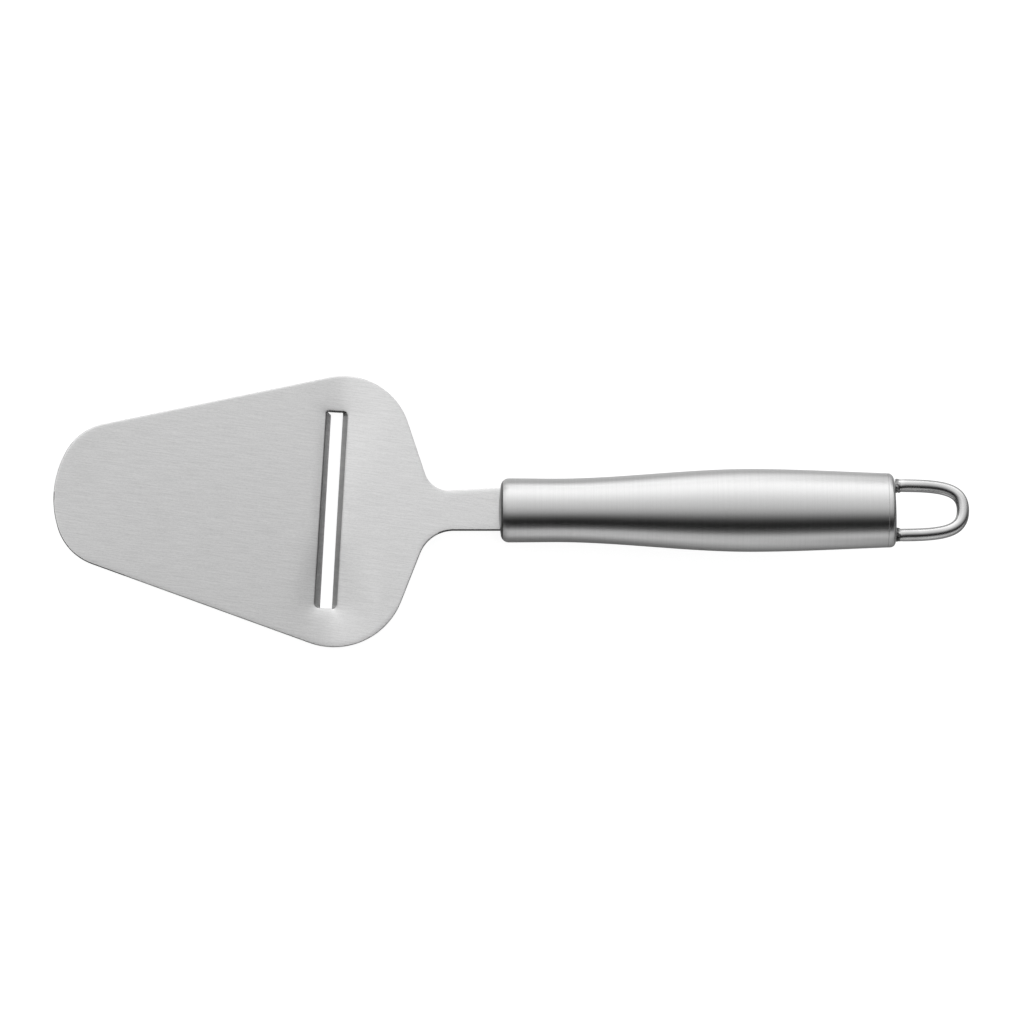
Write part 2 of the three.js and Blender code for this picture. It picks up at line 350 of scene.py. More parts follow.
# Steel. A brush is two pairs of streak frequencies per millimetre, fine then broad.
BLADE_BRUSH = ((1.0, 3.4), (0.14, 2.8))
LIP_BRUSH = ((0.8, 3.0), (0.2, 1.0))
HANDLE_BRUSH = ((5.0, 0.05), (1.2, 0.03))
WIRE_BRUSH = ((0.3, 1.5), (0.1, 0.4))
SEAM_BRUSH = ((5.0, 0.5), (1.2, 0.3))
WELD_LUMPS = ((2.4, 2.4), (0.9, 0.9))
GRAIN = (3.2, 4.2)
# Noise detail and share of the fine streaks, the broad streaks and the grain.
BRUSH_LAYERS = ((3, 0.35), (2, 0.4), (1, 0.25))
NOISE_ROUGHNESS = 0.6
NOISE_RANGE = (0.25, 0.75)
ROUGHNESS_SPREAD = 0.04
RELIEF_HEIGHT = 0.00002
# Distances from the middle of a wire where its painted highlight starts and where it is full.
PAINTED_HIGHLIGHT_ENDS = (16, 4)
BRUSH_TILT = math.radians(7.5)


def streaks(tree, uv, scale, detail):
    """Noise stretched into streaks along the first direction of uv."""
    mapping = node(tree, "ShaderNodeMapping", Scale=(*scale, 1))
    tree.links.new(uv, mapping.inputs["Vector"])
    noise = node(tree, "ShaderNodeTexNoise", noise_dimensions="2D", Scale=1, Detail=detail)
    noise.inputs["Roughness"].default_value = NOISE_ROUGHNESS
    tree.links.new(mapping.outputs["Vector"], noise.inputs["Vector"])
    return noise.outputs["Fac"]


def brushing(tree, uv, brush):
    """Fine streaks, broad streaks and grain, added up."""
    mixed = None
    for scale, (detail, share) in zip((*brush, GRAIN), BRUSH_LAYERS):
        layer = math_node(tree, "MULTIPLY", streaks(tree, uv, scale, detail), share)
        mixed = layer if mixed is None else math_node(tree, "ADD", mixed, layer)
    return mixed


def painted_highlight(tree, uv, amount):
    """How much lighter, as a painted highlight, a wire is near the middle of its length, where uv is 0."""
    sides = node(tree, "ShaderNodeSeparateXYZ")
    tree.links.new(uv, sides.inputs[0])
    away = math_node(tree, "ABSOLUTE", sides.outputs["X"])
    return map_range(tree, away, PAINTED_HIGHLIGHT_ENDS, (1, 1 + amount), interpolation_type="SMOOTHSTEP")


def steel(name, grey, roughness, brush, contrast=0.14, bump=0.15, anisotropy=0.0, rotation=0.0, highlight_gain=0.0):
    """Brushed steel. contrast and bump are how much the brushing shades and roughens it."""
    material = bpy.data.materials.new(name)
    material.use_nodes = True
    tree = material.node_tree
    shader = tree.nodes["Principled BSDF"]
    shader.inputs["Metallic"].default_value = 1
    shader.inputs["Anisotropic"].default_value = anisotropy
    shader.inputs["Anisotropic Rotation"].default_value = rotation
    uv = node(tree, "ShaderNodeUVMap", uv_map="brush").outputs["UV"]
    mixed = brushing(tree, uv, brush)
    bright = map_range(tree, mixed, NOISE_RANGE, (1 - contrast, 1 + contrast))
    if highlight_gain:
        bright = math_node(tree, "MULTIPLY", bright, painted_highlight(tree, uv, highlight_gain))
    tree.links.new(mix_colours(tree, 1, grey, bright, "MULTIPLY"), shader.inputs["Base Color"])
    rough = map_range(tree, mixed, NOISE_RANGE, (roughness - ROUGHNESS_SPREAD, roughness + ROUGHNESS_SPREAD))
    tree.links.new(rough, shader.inputs["Roughness"])
    if anisotropy:
        tangent = node(tree, "ShaderNodeTangent", direction_type="UV_MAP", uv_map="brush")
        tree.links.new(tangent.outputs["Tangent"], shader.inputs["Tangent"])
    if bump:
        relief = node(tree, "ShaderNodeBump", Strength=bump, Distance=RELIEF_HEIGHT)
        tree.links.new(mixed, relief.inputs["Height"])
        tree.links.new(relief.outputs["Normal"], shader.inputs["Normal"])
    return material


blade_steel = steel("blade_steel", 0.67, 0.34, BLADE_BRUSH, contrast=0.18, anisotropy=1.0, rotation=0.25)
# A copy of the blade's steel painted darker, as painted shade, for the edges that face left.
edge_shade_steel = steel("edge_shade_steel", 0.6, 0.32, BLADE_BRUSH, contrast=0.18)
# Copies of the steel for the slot, painted as light and shade: the guide lip darker, the cutting lip lighter,
# the slot's right end darker and the guide lip's corner there almost black, a painted shadow.
guide_lip_shade_steel = steel("guide_lip_shade_steel", 0.4, 0.47, LIP_BRUSH)
cut_lip_painted_light_steel = steel("cut_lip_painted_light_steel", 0.74, 0.47, LIP_BRUSH)
end_wall_shade_steel = steel("end_wall_shade_steel", 0.5, 0.28, LIP_BRUSH)
notch_shadow_steel = steel("notch_shadow_steel", 0.13, 0.28, LIP_BRUSH)
handle_steel = steel("handle_steel", 0.56, 0.42, HANDLE_BRUSH, contrast=0.1, anisotropy=1.0)
# The rear cap's end: polished, and painted darker as painted shade.
polished_shaded_steel = steel("polished_shaded_steel", 0.45, 0.26, HANDLE_BRUSH, contrast=0.1)
# Steel painted almost black, as painted shade, for the front cap's face and the blade's darkest edges.
painted_shade_steel = steel("painted_shade_steel", 0.135, 0.3, HANDLE_BRUSH, contrast=0.1)
# The wire's bend is painted lighter, as a painted highlight.
wire_steel = steel("wire_steel", 0.41, 0.26, WIRE_BRUSH, contrast=0.05, bump=0.0, highlight_gain=0.2)
weld_metal = steel("weld_metal", 0.22, 0.28, WELD_LUMPS, contrast=1.0, bump=0.8)
# A darker copy of the weld metal, for the left bead.
darker_weld_metal = steel("darker_weld_metal", 0.08, 0.28, WELD_LUMPS, contrast=1.0, bump=0.8)
seam_metal = steel("seam_metal", 0.36, 0.4, SEAM_BRUSH, contrast=0.2, bump=0.3)


# Outlines and rows of points.
def rounded(corners, step):
    """Points, about step apart, round an outline whose corners are rounded by their own radius."""
    count = len(corners)
    bends = []
    for i, (x, y, radius) in enumerate(corners):
        at = np.array([x, y])
        back = np.array(corners[i - 1][:2]) - at
        ahead = np.array(corners[(i + 1) % count][:2]) - at
        edge = np.linalg.norm(ahead)
        back = back / np.linalg.norm(back)
        ahead = ahead / edge
        half = math.acos(back @ ahead) / 2
        bends.append((at, back, ahead, edge, half, radius / math.tan(half)))
    fits = [min(1, b[3] / (b[5] + bends[(i + 1) % count][5])) for i, b in enumerate(bends)]
    arcs = []
    for i, (at, back, ahead, _, half, reach) in enumerate(bends):
        fitted = reach * min(fits[i], fits[i - 1])
        radius = fitted * math.tan(half)
        inward = (back + ahead) / np.linalg.norm(back + ahead)
        centre = at + inward * (radius / math.sin(half))
        first = at + back * fitted - centre
        last = at + ahead * fitted - centre
        start = math.atan2(first[1], first[0])
        turn = (math.atan2(last[1], last[0]) - start + math.pi) % (2 * math.pi) - math.pi
        steps = max(4, math.ceil(abs(turn) * radius / step))
        angles = start + turn * np.linspace(0, 1, steps + 1)
        arcs.append(centre + radius * np.c_[np.cos(angles), np.sin(angles)])
    points = []
    for i, bend in enumerate(arcs):
        points.extend(bend)
        gap = arcs[(i + 1) % count][0] - bend[-1]
        steps = int(np.linalg.norm(gap) / step)
        points.extend(bend[-1] + gap * (k / steps) for k in range(1, steps))
    points = np.array(points)
    keep = np.linalg.norm(points - np.roll(points, 1, axis=0), axis=1) > 1e-6
    return points[keep]


def outward(loop):
    """Unit normals that point out of a loop whose points run anticlockwise."""
    tangent = np.roll(loop, -1, axis=0) - np.roll(loop, 1, axis=0)
    normal = np.c_[tangent[:, 1], -tangent[:, 0]]
    return normal / np.linalg.norm(normal, axis=1)[:, None]


def inside(points, loop):
    """True for the points within a closed loop."""
    x, y = points[:, 0], points[:, 1]
    result = np.zeros(len(points), bool)
    for (x0, y0), (x1, y1) in zip(loop, np.roll(loop, -1, axis=0)):
        if y0 == y1:
            continue
        crosses = (y0 > y) != (y1 > y)
        result ^= crosses & (x < (x1 - x0) * (y - y0) / (y1 - y0) + x0)
    return result


def strip(first, second):
    """Quads between two closed rows of vertex numbers of the same length."""
    count = len(first)
    following = [(i + 1) % count for i in range(count)]
    return [(first[i], first[j], second[j], second[i]) for i, j in enumerate(following)]


# Form of the blade's sheet. Slot coordinates: across towards the handle, end towards +Y.
slot_across = np.array([math.cos(SLOT_SKEW), -math.sin(SLOT_SKEW)])
slot_end = np.array([math.sin(SLOT_SKEW), math.cos(SLOT_SKEW)])


def slot_coordinates(points):
    local = points - SLOT_CENTRE
    return local @ slot_across, local @ slot_end


def slot_vectors(local, start=0.0):
    """Vectors in the handle's frame, added to start, of vectors in slot coordinates."""
    return start + local[:, :1] * slot_across + local[:, 1:] * slot_end


def past_slot(end):
    """Distance past the slot's nearer end, below 0 beside the slot."""
    return np.abs(end) - (HALF_LENGTH - np.where(end < 0, SHORT_LEFT, SHORT_RIGHT))


def choose(where, first, second):
    """Two (depth, length) pairs as arrays, the first pair where the condition holds."""
    return [np.where(where, a, b) for a, b in zip(first, second)]


def fold_top(points):
    """Height of the crowned sheet's upper face, folded up along a line askew to the slot."""
    across, end = slot_coordinates(points)
    shift = FOLD_SKEW * end
    ahead = shift - across
    root = np.sqrt(ahead * ahead + FOLD_SOFTNESS**2)
    crown = CROWN * (points[:, 1] - CROWN_MIDDLE) ** 2 * smooth((points[:, 0] - CROWN_START) / CROWN_FADE)
    return SHEET / 2 + TIP_RISE * (ahead + root - shift * (1 + ahead / root)) / 2 - crown


def sagged_top(points):
    """Height of the sheet's upper face with the long sags past the slot's ends."""
    across, end = slot_coordinates(points)
    past = past_slot(end)
    depth, length = choose(end < 0, SAG_LEFT, SAG_RIGHT)
    below = SAG_ROUND * np.logaddexp(0, past / SAG_ROUND)
    side_fade = np.where(across < 0, SAG_FADE_CUT, SAG_FADE_GUIDE)
    sag = depth * np.exp(-below / length) * (1 - smooth((np.abs(across) - SAG_FLAT) / side_fade))
    return fold_top(points) - sag * (1 - smooth(-past / SAG_FADE_BACK))


def sheet_top(points):
    """Height of the sheet's upper face with the dish round the slot."""
    across, end = slot_coordinates(points)
    left = end < 0
    corner = np.where(left | (across > 0), WIDE_CORNER, SLOT_CORNER)
    beside = np.maximum(np.abs(across) - (HALF_WIDTH - corner), 0)
    beyond = np.maximum(past_slot(end) + corner, 0)
    reach = np.maximum(np.hypot(beside, beyond), 1e-9)
    away = np.maximum(reach - corner, 0)
    side_depth, side_length = choose(across < 0, DISH_CUT, DISH_GUIDE)
    side_depth = side_depth * (1 - DISH_LOSS * smooth((np.abs(end) - DISH_LOSS_FROM) / DISH_LOSS_FADE))
    end_depth, end_length = choose(left, DISH_LEFT_END, DISH_RIGHT_END)
    share = (beside / reach) ** 2
    dish = share * side_depth * np.exp(-away / side_length)
    dish += (1 - share) * end_depth * np.exp(-away / end_length)
    return sagged_top(points) - dish


# Blade's outer edge.
def edge_shape(out, x):
    """Run of the upper round and drop of the roll-off before it: larger on the left side and on the neck."""
    ox, oy = out[:, 0], out[:, 1]
    neck = smooth((x - NECK_START) / NECK_FADE)
    run = EDGE_RUN - EDGE_RUN_ASIDE * oy - EDGE_RUN_REAR * ox * (oy > 0)
    run = np.clip(run, EDGE_RUN_LEAST, EDGE_RUN_MOST) * (1 + EDGE_RUN_NECK * neck)
    depth = ROLL_DEPTH + np.where(oy < 0, ROLL_DEPTH * (1 - neck), ROLL_DEPTH * neck)
    return run, depth * np.abs(oy) * smooth((np.abs(oy) - ROLL_FROM) / ROLL_FADE)


def edge_rows(rim, out, edge_run, roll):
    """Rows of points over the sheet's outer edge, from the upper rim to the lower one."""
    quarter = np.radians(np.linspace(0, 90, EDGE_STEPS + 1)[1:])
    section = [(t, 0, t * t, 0) for t in np.linspace(0, 1, ROLL_STEPS + 1)[1:]]
    section += [(1, math.sin(a), 1, -EDGE_DROP * (1 - math.cos(a))) for a in quarter]
    section += [(1, math.sin(a), 0, EDGE_DROP * (1 - math.cos(a)) - SHEET) for a in quarter[::-1]]
    section += [(1, 0, 0, -SHEET)]
    rows = []
    for rolled_run, round_run, rolled, drop in section:
        spread = (rolled_run * ROLL_RUN + round_run * edge_run)[:, None] * out
        upper = drop > -SHEET / 2
        height = sheet_top(rim + spread * [1, 0] if upper else rim)
        rows.append(np.c_[rim + spread, height - rolled * roll + drop])
    return rows


# Blade's slot edge. Faces and undersides are (share of the run, drop), with a lip face's drop as a share.
def lip_face(ease):
    """Face of a pressed lip: a tight bend that eases towards the edge."""
    shares = np.linspace(0, 1, LIP_STEPS + 1)[1:]
    creases = [LIP_CREASE * math.sin(math.pi * min(1, LIP_CREASE_RATE * t)) for t in shares]
    return [(t, (1 + ease - ease * t) * t - crease) for t, crease in zip(shares, creases)]


CUT_FACE = lip_face(CUT_EASE)
CUT_UNDER = [
    (0.96, CUT_DROP + 0.005),
    (1 - CUT_GRIND / (BEND + CUT_RUN), CUT_DROP - CUT_GRIND / 6),
    (0.25, 1.9),
]
GUIDE_FACE = lip_face(GUIDE_EASE)
GUIDE_UNDER = [(1.0, SHEET - 0.08), (0.95, SHEET), (0.3, SHEET)]
WALL_FACE = [(t, WALL_TILT * t + WALL_CURVE * t * t) for t in np.linspace(0, 1, LIP_STEPS)[1:]]
WALL_UNDER = [(1.0, SHEET - 0.25), (1.0, SHEET - 0.15), (0.8, SHEET - 0.02), (0.3, SHEET)]


def slot_ring():
    """The slot in slot coordinates, where the sheet starts to bend down."""
    corners = [
        (-HALF_WIDTH, LEFT_END, WIDE_CORNER),
        (HALF_WIDTH, LEFT_END, WIDE_CORNER),
        (HALF_WIDTH, RIGHT_END, WIDE_CORNER),
        (-HALF_WIDTH, RIGHT_END, SLOT_CORNER),
    ]
    local = rounded(corners, SLOT_STEP)
    narrower = np.clip(-local[:, 0] / HALF_WIDTH, 0, 1) * (local[:, 1] + HALF_LENGTH) / (2 * HALF_LENGTH)
    local[:, 0] += SLOT_NARROW * narrower
    return local


def ledge_drop(share):
    """Share of the guide lip's drop in its right corner: a flat ledge, then a steep step."""
    if share < LEDGE_RUN:
        return LEDGE_SLOPE * share
    return LEDGE_SLOPE * LEDGE_RUN + STEP_SLOPE * (share - LEDGE_RUN)


def slot_column(a, b, height, base):
    """Points from the ring's point (a, b) down over a lip or an end wall, in slot coordinates.
    height is that of the sheet at the ring, and base the same without the dish."""
    right = b > 0
    end = abs(RIGHT_END if right else LEFT_END)
    straight = end - (WIDE_CORNER if a > 0 or not right else SLOT_CORNER)
    wall = SLOT_LENGTH / 2 - (SHORT_RIGHT + RIGHT_WALL if right else SHORT_LEFT + LEFT_WALL)
    cut_limit = CUT_EDGE - CUT_BACK if right else CUT_EDGE
    if cut_limit <= a <= GUIDE_EDGE:
        edge_b = math.copysign(wall, b)
        return [(a, b + (edge_b - b) * g, height - z) for g, z in [*WALL_FACE, *WALL_UNDER]]
    cutting = a < 0
    if cutting:
        face, under, drop, edge_a, limit = CUT_FACE, CUT_UNDER, CUT_DROP, CUT_EDGE, cut_limit
    else:
        face, under, drop, edge_a, limit = GUIDE_FACE, GUIDE_UNDER, GUIDE_DROP, GUIDE_EDGE, GUIDE_EDGE
    edge_b, past, reach = b, 0.0, 1.0
    if abs(b) > straight:
        past = 0.5 * smooth((HALF_WIDTH - abs(a)) / (HALF_WIDTH - abs(limit)))
        past += 0.5 * smooth((abs(b) - straight) / (end - straight))
        edge_b = math.copysign(straight + (wall - straight) * past, b)
    if cutting and right:
        cut_back = CUT_BACK * (max(0.0, edge_b - (wall - CUT_SLANT)) / CUT_SLANT)
        edge_a -= cut_back
        reach = 1 - cut_back / (BEND + CUT_RUN)
    edge_height = base - drop * reach
    ledge = past if right and not cutting else 0.0
    section = []
    for g, h in face:
        h = (1 - ledge) * h + ledge * ledge_drop(g)
        section.append((g, height + (edge_height - height) * h))
    section += [(g, edge_height + (drop - z) * reach) for g, z in under]
    return [(a + (edge_a - a) * g, b + (edge_b - b) * g, z) for g, z in section]


# Blade.
def fill_points(outer, rim, out, ring, inward):
    """Points of the sheet between its rim and the slot, closer together near the slot."""
    rows = [(ring - inward * step)[:: 1 if step < FILL_DENSE else 2] for step in FILL_ROWS]
    low, high = outer.min(0), outer.max(0)
    x, y = np.meshgrid(np.arange(low[0], high[0], FILL_PITCH), np.arange(low[1], high[1], FILL_PITCH))
    x[1::2] += FILL_PITCH / 2
    grid = np.c_[x.ravel(), y.ravel()]
    across, end = slot_coordinates(grid)
    clear = (np.abs(across) > HALF_WIDTH + FILL_CLEAR) | (np.abs(end) > HALF_LENGTH + FILL_CLEAR)
    fill = np.concatenate([*rows, grid[clear]])
    return fill[inside(fill, rim - FILL_MARGIN * out)]


def sheet_triangles(flat, rim, ring):
    """Triangles of the flat sheet between its rim and its slot, which are its first points."""
    n_rim, n_ring = len(rim), len(ring)
    edges = [(i, (i + 1) % n_rim) for i in range(n_rim)]
    edges += [(n_rim + i, n_rim + (i + 1) % n_ring) for i in range(n_ring)]
    _, _, triangles, origins, _, _ = delaunay_2d_cdt([Vector(p) for p in flat], edges, [], 0, 1e-7)
    triangles = np.array([[origins[i][0] for i in t] for t in triangles])
    middle = flat[triangles].mean(1)
    triangles = triangles[inside(middle, rim) & ~inside(middle, ring)]
    p, q, r = (flat[triangles[:, k]] for k in range(3))
    turned_over = (q - p)[:, 0] * (r - p)[:, 1] - (q - p)[:, 1] * (r - p)[:, 0] < 0
    triangles[turned_over] = triangles[turned_over][:, ::-1]
    return triangles


# The first material is the plain steel, which every face of the blade starts with; the others are copies of
# it painted lighter or darker, as painted light and shade.
BLADE_PAINTED_TONES = [blade_steel, guide_lip_shade_steel, cut_lip_painted_light_steel, end_wall_shade_steel, edge_shade_steel, notch_shadow_steel, painted_shade_steel]
GUIDE, CUT, END, EDGE, NOTCH, DARK = range(1, len(BLADE_PAINTED_TONES))


def paint_edge_shade(faces, outer, out):
    """Below the roll-off the edge is painted darker, as painted shade, where it faces left, most of all at
    the tip and on the neck.
    """
    for i, face in enumerate(faces):
        column = i % len(outer)
        x, lean = outer[column, 0], out[column, 1]
        if i >= ROLL_STEPS * len(outer) and lean < EDGE_LIT:
            on_neck = x > NECK_EDGE_START and lean < NECK_EDGE_LEAN
            face.material_index = DARK if x < TIP_END or on_neck else EDGE


def paint_slot_tones(faces, local):
    """Lips and end walls are painted lighter or darker, as painted light and shade: the cutting lip lighter,
    the guide lip and the slot's right end darker, and the guide lip's corner there darkest, a painted shadow.
    Along the lips the first two strips stay plain.
    """
    a, at_end = local[:, 0], local[:, 1] > RIGHT_END - END_BAND
    painted_tone = np.where(a < 0, CUT, GUIDE)
    painted_tone[at_end] = END
    painted_tone[at_end & (a > GUIDE_EDGE)] = NOTCH
    from_ring = (a > CUT_EDGE - CUT_BACK) & (a < GUIDE_EDGE) | at_end
    for i, face in enumerate(faces):
        column = i % len(local)
        if i >= 2 * len(local) or from_ring[column]:
            face.material_index = painted_tone[column]


def make_blade():
    outer = rounded(OUTLINE, OUTLINE_STEP)
    out = outward(outer)
    outer = outer - OUTLINE_INSET * out
    edge_run, roll = edge_shape(out, outer[:, 0])
    rim = outer - (ROLL_RUN + edge_run)[:, None] * out
    local = slot_ring()
    ring = slot_vectors(local, SLOT_CENTRE)
    inward = slot_vectors(-outward(local))
    flat = np.concatenate([rim, ring, fill_points(outer, rim, out, ring, inward)])
    triangles = sheet_triangles(flat, rim, ring)
    total, n_rim, n_ring = len(flat), len(rim), len(ring)

    top = np.c_[flat, sheet_top(flat)]
    points = [top, top - [0, 0, SHEET]]
    faces = [tuple(t) for t in triangles]
    faces += [tuple(total + t[::-1]) for t in triangles]
    count = 2 * total

    rows = [np.arange(n_rim)]
    for row in edge_rows(rim, out, edge_run, roll):
        points.append(row)
        rows.append(count + np.arange(n_rim))
        count += n_rim
    rows.append(total + np.arange(n_rim))
    edge_start = len(faces)
    for first, second in zip(rows[:-1], rows[1:]):
        faces += [f[::-1] for f in strip(first, second)]

    heights = top[n_rim:n_rim + n_ring, 2]
    places = zip(local, heights, sagged_top(ring))
    columns = np.array([slot_column(a, b, height, base) for (a, b), height, base in places])
    rows = [n_rim + np.arange(n_ring)]
    for row in columns.transpose(1, 0, 2):
        points.append(np.c_[slot_vectors(row[:, :2], SLOT_CENTRE), row[:, 2]])
        rows.append(count + np.arange(n_ring))
        count += n_ring
    rows.append(total + n_rim + np.arange(n_ring))
    slot_start = len(faces)
    for first, second in zip(rows[:-1], rows[1:]):
        faces += strip(first, second)

    points = np.concatenate(points)
    brush = np.array([math.cos(BRUSH_TILT), -math.sin(BRUSH_TILT)])
    uvs = np.c_[points[:, :2] @ brush, points[:, :2] @ [-brush[1], brush[0]]]
    blade = piece("blade_look", points, faces, uvs, blade_steel, BLADE_SHARP)
    for material in BLADE_PAINTED_TONES[1:]:
        blade.data.materials.append(material)
    paint_edge_shade(blade.data.polygons[edge_start:slot_start], outer, out)
    paint_slot_tones(blade.data.polygons[slot_start:], local)
    return blade


stand_in(make_blade(), "blade")


# Handle: pieces turned from closed outlines of (x, radius).
def turned(name, outline, material):
    """A body turned round the handle's axis. Points of radius 0 become one vertex on the axis."""
    angles = np.linspace(0, 2 * math.pi, SEGMENTS, endpoint=False)
    points, uvs, rows = [], [], []
    for x, radius in outline:
        if radius == 0:
            rows.append([len(points)])
            points.append((x, 0, 0))
            uvs.append((x, 0))
            continue
        rows.append(list(range(len(points), len(points) + SEGMENTS)))
        points.extend((x, radius * math.sin(a), radius * math.cos(a)) for a in angles)
        uvs.extend((x, a * HANDLE_BRUSH_RADIUS) for a in angles)
    faces = []
    for first, second in zip(rows, rows[1:] + rows[:1]):
        if len(first) == 1 and len(second) == 1:
            continue
        for i in range(SEGMENTS):
            j = (i + 1) % SEGMENTS
            if len(first) == 1:
                faces.append((first[0], second[i], second[j]))
            elif len(second) == 1:
                faces.append((first[i], second[0], first[j]))
            else:
                faces.append((first[i], second[i], second[j], first[j]))
    return piece(name, points, faces, uvs, material)


def bezier(p0, p1, p2, p3, steps):
    t = np.linspace(0, 1, steps + 1)[:, None]
    p0, p1, p2, p3 = map(np.array, (p0, p1, p2, p3))
    return (1 - t) ** 3 * p0 + 3 * (1 - t) ** 2 * t * p1 + 3 * (1 - t) * t * t * p2 + t**3 * p3


def contour(start, end, slope, steps):
    """A curve that leaves start level and reaches end with a slope."""
    third = (end[0] - start[0]) / 3
    return bezier(start, (start[0] + third, start[1]), (end[0] - third, end[1] - slope * third), end, steps)


def arc(x, radius, size, first, last, steps):
    """Points round (x, radius), from the first to the last angle in degrees."""
    angles = np.radians(np.linspace(first, last, steps + 1))
    return [(x + size * math.cos(a), radius + size * math.sin(a)) for a in angles]


def cut_box(obj, low, high):
    """Cuts a box, given in the handle's frame, out of a piece."""
    corners = [(x, y, z) for x in (low[0], high[0]) for y in (low[1], high[1]) for z in (low[2], high[2])]
    sides = [(0, 1, 3, 2), (4, 6, 7, 5), (0, 4, 5, 1), (2, 3, 7, 6), (0, 2, 6, 4), (1, 5, 7, 3)]
    cutter = piece("cutter", corners, sides, [c[:2] for c in corners], handle_steel)
    modifier = obj.modifiers.new("slot", "BOOLEAN")
    modifier.operation = "DIFFERENCE"
    modifier.solver = "EXACT"
    modifier.object = cutter
    graph = bpy.context.evaluated_depsgraph_get()
    mesh = bpy.data.meshes.new_from_object(obj.evaluated_get(graph))
    obj.modifiers.clear()
    obj.data = mesh
    mesh.set_sharp_from_angle(angle=math.radians(SHARP))
    bpy.data.objects.remove(cutter)


def repaint_band(obj, material, low, high):
    """Gives another material to a piece's faces that lie between two places along the handle."""
    obj.data.materials.append(material)
    for face in obj.data.polygons:
        if low < (to_handle @ face.center).x < high:
            face.material_index = len(obj.data.materials) - 1


def make_shell():
    skin = [
        *contour((FRONT_SEAM, FRONT_RADIUS), WAIST, 0, 12),
        *contour(WAIST, BELLY, 0, 48)[1:],
        *contour(BELLY, (REAR_SEAM, REAR_RADIUS), REAR_SLOPE, 36)[1:],
    ]
    skin = [tuple(p) for p in skin if FRONT_RING[1] < p[0] < REAR_RING[0] - SEAM_CLEAR]
    outline = [
        (FRONT_RING[1], FRONT_RADIUS - WALL),
        (FRONT_RING[1], FRONT_RADIUS),
        *skin,
        (REAR_RING[0] - SEAM_ROUND, REAR_RADIUS + SHELL_RISE),
        (REAR_RING[0], REAR_RADIUS - SEAM_SINK),
        (REAR_RING[0], REAR_RADIUS - WALL),
        *[(x, r - WALL) for x, r in reversed(skin)],
    ]
    return turned("handle_shell_look", outline, handle_steel)


def make_front_cap():
    corner_x = FRONT_DOME + FRONT_CORNER
    corner_r = FRONT_RADIUS - FRONT_CORNER
    join_x = corner_x - FRONT_CORNER * math.cos(DOME_BEND)
    join_r = corner_r + FRONT_CORNER * math.sin(DOME_BEND)
    outline = [
        *[(join_x * (r / join_r) ** 2, r) for r in np.linspace(0, join_r, 14)[:-1]],
        *arc(corner_x, corner_r, FRONT_CORNER, 180 - math.degrees(DOME_BEND), 90, 18),
        (FRONT_RING[0], FRONT_RADIUS),
        (FRONT_RING[0], FRONT_RADIUS - WALL),
        *arc(corner_x + CAP_WALL - WALL, corner_r, FRONT_CORNER - WALL, 90, 180, 8),
        (FRONT_DOME + CAP_WALL, 0.0),
    ]
    cap = turned("front_cap_look", outline, handle_steel)
    cut_box(cap, *TANG_SLOT)
    # The front face is painted almost black, as painted shade.
    repaint_band(cap, painted_shade_steel, -CLEAR_OF_END, FACE_DEPTH)
    return cap


def make_front_ring():
    start, end = FRONT_RING
    depth = FRONT_RADIUS - FRONT_RING_DEPTH
    outline = [(start, FRONT_RADIUS), (end, FRONT_RADIUS), (end, depth), (start, depth)]
    return turned("front_seam_look", outline, handle_steel)


def make_rear_cap():
    """The rear cap, whose end is slightly askew."""
    start = REAR_RING[1]
    corner_x = HANDLE_LENGTH - REAR_DOME - REAR_CORNER
    outline = [
        (start, REAR_RADIUS - WALL),
        (start, REAR_RADIUS - SEAM_SINK),
        (start + SEAM_ROUND, REAR_RADIUS),
        *arc(corner_x, REAR_RADIUS - REAR_CORNER, REAR_CORNER, 90, REAR_CORNER_END, 14),
        *[(HANDLE_LENGTH - REAR_DOME * (r / REAR_DOME_RADIUS) ** 2, r) for r in np.linspace(REAR_FLAT, 0, 9)],
        (HANDLE_LENGTH - CAP_WALL, 0.0),
        (HANDLE_LENGTH - CAP_WALL, REAR_RADIUS - WALL),
    ]
    cap = turned("rear_cap_look", outline, handle_steel)
    # The end of the rear cap is polished and painted darker, as painted shade.
    repaint_band(cap, polished_shaded_steel, HANDLE_LENGTH - FILLET_DEPTH, HANDLE_LENGTH + CLEAR_OF_END)
    for vertex in cap.data.vertices:
        x, y, z = to_handle @ vertex.co
        x -= REAR_SKEW * y * float(smooth((x - start - REAR_SKEW_FROM) / REAR_SKEW_FADE))
        vertex.co = to_row @ Vector((x, y, z))
    return cap


def make_rear_ring():
    start, end = REAR_RING
    sunk, depth = REAR_RADIUS - SEAM_SINK, REAR_RADIUS - REAR_RING_DEPTH
    outline = [(start, sunk), (REAR_SEAM, REAR_RADIUS), (end, sunk), (end, depth), (start, depth)]
    return turned("rear_seam_look", outline, seam_metal)


stand_in(make_shell(), "handle_shell")
stand_in(make_front_cap(), "front_cap")
stand_in(make_front_ring(), "front_seam_weld")
stand_in(make_rear_cap(), "rear_cap")
stand_in(make_rear_ring(), "rear_seam_weld")


